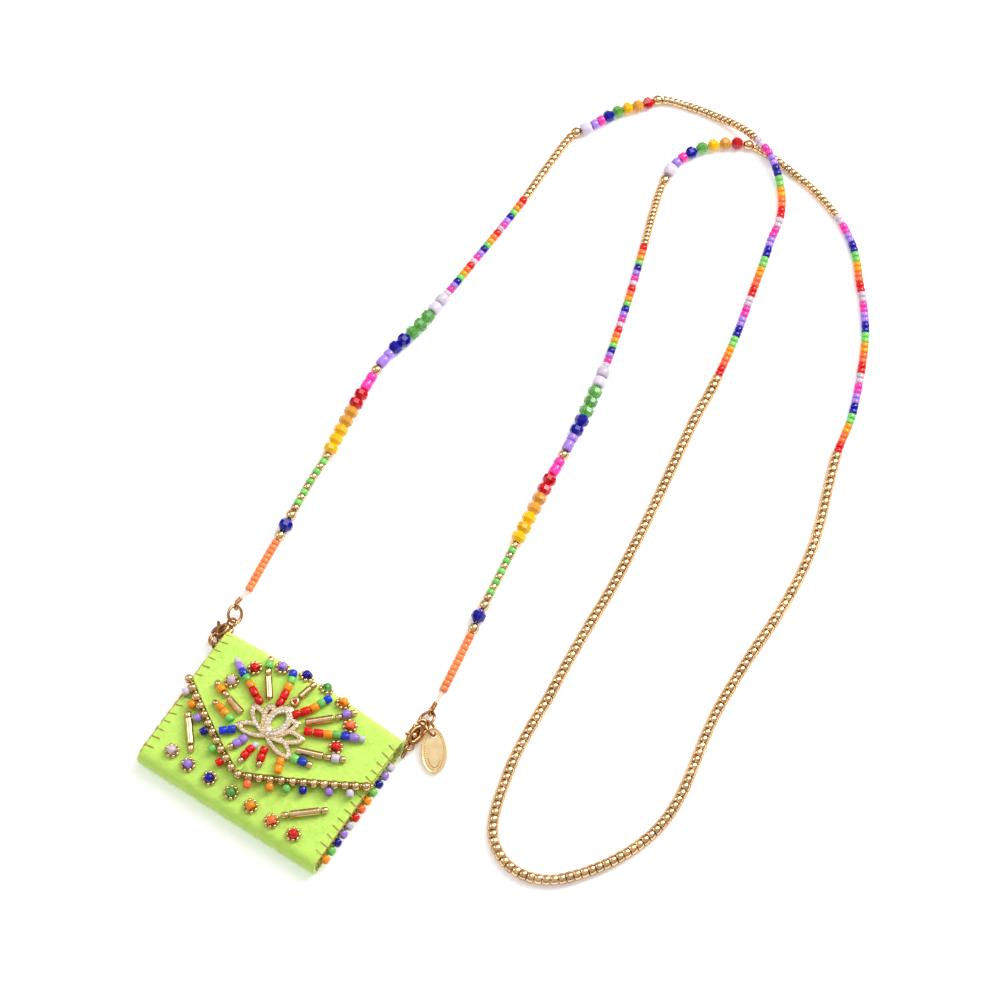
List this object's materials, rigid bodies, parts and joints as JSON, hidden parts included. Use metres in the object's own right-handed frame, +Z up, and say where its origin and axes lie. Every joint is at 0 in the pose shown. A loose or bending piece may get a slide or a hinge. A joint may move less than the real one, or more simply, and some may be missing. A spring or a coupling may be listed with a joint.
{
  "type": "beaded medicine bag",
  "caption": "Small felt envelope medicine bag lying on its back, beaded flap with a stone-set lotus charm, and a long beaded neck strand clasped to its top corners.",
  "frame": {"origin": "point on the flat outside of the bag's back, on its middle line, 22 mm above the bottom fold edge", "axes": "+X across the bag's width, +Y from its bottom fold towards its top fold, +Z up out of its flap"},
  "size_m": [0.14, 0.251, 0.0123],
  "materials": {
    "felt": "felt",
    "gold": "plated",
    "pave": "stone set",
    "red": "opaque gloss",
    "orange": "opaque gloss",
    "neon_orange": "opaque gloss",
    "yellow": "gloss",
    "green": "gloss",
    "navy": "gloss",
    "purple": "gloss",
    "clear": "gloss"
  },
  "bodies": {
    "bag": {"felt_pouch": "felt", "lotus_charm": "pave", "ray_01_gold_bugle": "gold", "ray_02_green_orange": "orange", "ray_03_blue": "navy", "ray_04_purple": "purple", "ray_05_red": "red", "ray_06_red": "red", "ray_07_orange": "orange", "ray_08_green_blue": "navy", "ray_09_gold_bugle": "gold", "ray_10_red_blue": "red", "ray_11_gold_bugle": "gold", "ray_12_red_blue": "red", "ray_13_gold_bugle": "gold", "ray_14_red_blue": "red", "ray_15_gold_bugle": "gold", "ray_16_red_blue": "red", "arc_flower_1": "clear", "arc_flower_2": "red", "arc_flower_3": "purple", "arc_flower_4": "navy", "arc_flower_5": "green", "arc_flower_6": "orange", "arc_flower_7": "neon_orange", "arc_flower_8": "red", "front_flower_1": "clear", "front_flower_2": "purple", "front_flower_3": "navy", "front_flower_4": "green", "front_flower_5": "orange", "front_flower_6": "neon_orange", "front_flower_7": "red", "flap_edge_beads": "gold", "side_edging_left": "clear", "side_edging_right": "clear", "clasp_body_right": "gold", "clasp_body_left": "gold", "corner_ring_right": "gold", "end_ring_right": "gold", "corner_ring_left": "gold", "end_ring_left": "gold", "bead_tip_left": "gold", "bead_tip_right": "gold", "strand_orange_left": "neon_orange", "strand_gold_green_left": "green", "strand_warm_left": "yellow", "strand_cool_left": "purple", "strand_arch_left": "gold", "strand_gold_loop": "gold", "strand_arch_right": "gold", "strand_cool_right": "purple", "strand_warm_right": "yellow", "strand_gold_green_right": "green", "strand_orange_right": "neon_orange"},
    "lever_right": {"clasp_lever_right": "gold"},
    "lever_left": {"clasp_lever_left": "gold"},
    "tag_link": {"tag_ring": "gold"},
    "tag_plate": {"tag": "gold"}
  },
  "joints": [
    {"name": "lever_right_pivot", "type": "hinge", "parent": "bag", "child": "lever_right", "pos_m": [0.02826, 0.02428, 0.00234], "axis": [-0.4428, -0.0153, -0.8965], "range_deg": [0, 18], "stiffness_Nm_per_rad": 0.0002},
    {"name": "lever_left_pivot", "type": "hinge", "parent": "bag", "child": "lever_left", "pos_m": [-0.03122, 0.02132, 0.00193], "axis": [-0.2589, 0.0394, 0.9651], "range_deg": [0, 18], "stiffness_Nm_per_rad": 0.0002},
    {"name": "tag_ring_swing", "type": "hinge", "parent": "bag", "child": "tag_link", "pos_m": [0.03024, 0.02862, 0.00326], "axis": [0.4917, 0.8035, 0.3357], "range_deg": [-12, 12]},
    {"name": "tag_swing", "type": "hinge", "parent": "tag_link", "child": "tag_plate", "pos_m": [0.03296, 0.02701, 0.00271], "axis": [0.2055, 0.5394, -0.8166], "range_deg": [-12, 12]}
  ]
}
